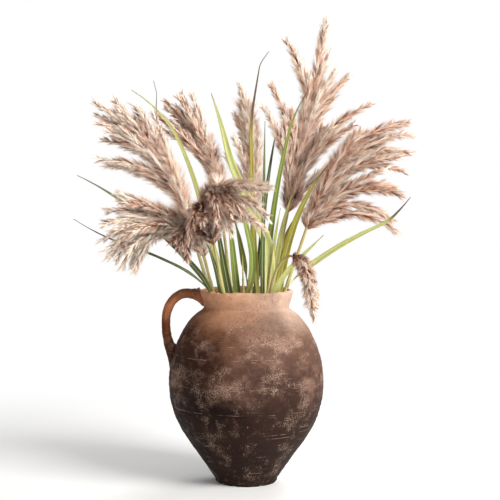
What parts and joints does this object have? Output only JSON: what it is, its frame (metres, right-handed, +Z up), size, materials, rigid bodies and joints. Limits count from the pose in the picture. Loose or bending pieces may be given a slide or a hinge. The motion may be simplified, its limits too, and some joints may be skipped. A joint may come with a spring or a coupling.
{
  "type": "flower vase",
  "caption": "Terracotta flower vase shaped like an antique jar, with a side handle and flared collar, holding a lift-out pot of dried plumed reeds with strap leaves.",
  "frame": {"origin": "centre of the jar's foot, on the table plane", "axes": "+Z up along the jar's axis of revolution; the handle is on the -X side; -Y faces the viewer"},
  "size_m": [0.6996, 0.535, 0.9791],
  "materials": {
    "terracotta": "matte",
    "liner_plastic": "matte",
    "gravel": "matte",
    "floral_foam": "matte",
    "reed_stem": "satin",
    "plume_hair": "matte",
    "leaf_green": "satin",
    "leaf_pale": "satin",
    "leaf_olive": "satin"
  },
  "bodies": {
    "jar": {"jar_body": "terracotta", "jar_handle": "terracotta"},
    "insert": {"inner_pot": "liner_plastic", "gravel_ballast": "gravel", "foam_block": "floral_foam"},
    "reed_left": {"stem_left": "reed_stem", "plume_left": "plume_hair", "leaf_left_tip": "leaf_green"},
    "reed_low_left": {"stem_low_left": "reed_stem", "plume_low_left": "plume_hair", "leaf_left_arch": "leaf_green", "leaf_left_thin": "leaf_green"},
    "reed_front_left": {"stem_front_left": "reed_stem", "plume_front_left": "plume_hair", "leaf_front_left_short": "leaf_green"},
    "reed_back_left": {"stem_back_left": "reed_stem", "plume_back_left": "plume_hair", "leaf_back_left_tall": "leaf_pale", "leaf_back_left_arch": "leaf_green"},
    "reed_back": {"stem_back": "reed_stem", "plume_back": "plume_hair", "leaf_back_arch": "leaf_green", "leaf_back_upright": "leaf_green"},
    "reed_tall": {"stem_tall": "reed_stem", "plume_tall": "plume_hair", "leaf_tall_side": "leaf_olive", "leaf_tall_low": "leaf_olive", "leaf_right_pale": "leaf_pale", "leaf_back_right_arch": "leaf_olive"},
    "reed_right": {"stem_right": "reed_stem", "plume_right": "plume_hair", "leaf_right_olive": "leaf_olive", "leaf_right_kinked": "leaf_pale"},
    "reed_low_right": {"stem_low_right": "reed_stem", "plume_low_right": "plume_hair", "leaf_upright_dark": "leaf_green", "leaf_low_right": "leaf_pale"},
    "leaves_front": {"shoot_front": "reed_stem", "leaf_front_pair_left": "leaf_green", "leaf_front_pair_right": "leaf_green", "leaf_front_slanted": "leaf_pale"},
    "leaves_centre": {"shoot_centre": "reed_stem", "leaf_broad_pale": "leaf_pale", "leaf_tall_hooked": "leaf_olive"}
  },
  "joints": [
    {"name": "insert_lift", "type": "slide", "parent": "jar", "child": "insert", "axis": [0, 0, 1], "range_m": [0, 0.4]},
    {"name": "reed_left_pull", "type": "slide", "parent": "insert", "child": "reed_left", "axis": [-0.2902, 0.0356, 0.9563], "range_m": [0, 0.2]},
    {"name": "reed_low_left_pull", "type": "slide", "parent": "insert", "child": "reed_low_left", "axis": [-0.2532, -0.1462, 0.9563], "range_m": [0, 0.2]},
    {"name": "reed_front_left_pull", "type": "slide", "parent": "insert", "child": "reed_front_left", "axis": [-0.1772, -0.2531, 0.9511], "range_m": [0, 0.2]},
    {"name": "reed_back_left_pull", "type": "slide", "parent": "insert", "child": "reed_back_left", "axis": [-0.121, 0.2095, 0.9703], "range_m": [0, 0.2]},
    {"name": "reed_back_pull", "type": "slide", "parent": "insert", "child": "reed_back", "axis": [0.0272, 0.1541, 0.9877], "range_m": [0, 0.2]},
    {"name": "reed_tall_pull", "type": "slide", "parent": "insert", "child": "reed_tall", "axis": [0.2048, 0.1844, 0.9613], "range_m": [0, 0.2]},
    {"name": "reed_right_pull", "type": "slide", "parent": "insert", "child": "reed_right", "axis": [0.3248, 0.0227, 0.9455], "range_m": [0, 0.2]},
    {"name": "reed_low_right_pull", "type": "slide", "parent": "insert", "child": "reed_low_right", "axis": [0.1902, -0.2435, 0.9511], "range_m": [0, 0.2]},
    {"name": "leaves_front_pull", "type": "slide", "parent": "insert", "child": "leaves_front", "axis": [-0.0145, -0.0682, 0.9976], "range_m": [0, 0.2]},
    {"name": "leaves_centre_pull", "type": "slide", "parent": "insert", "child": "leaves_centre", "axis": [0.129, -0.0521, 0.9903], "range_m": [0, 0.2]}
  ]
}
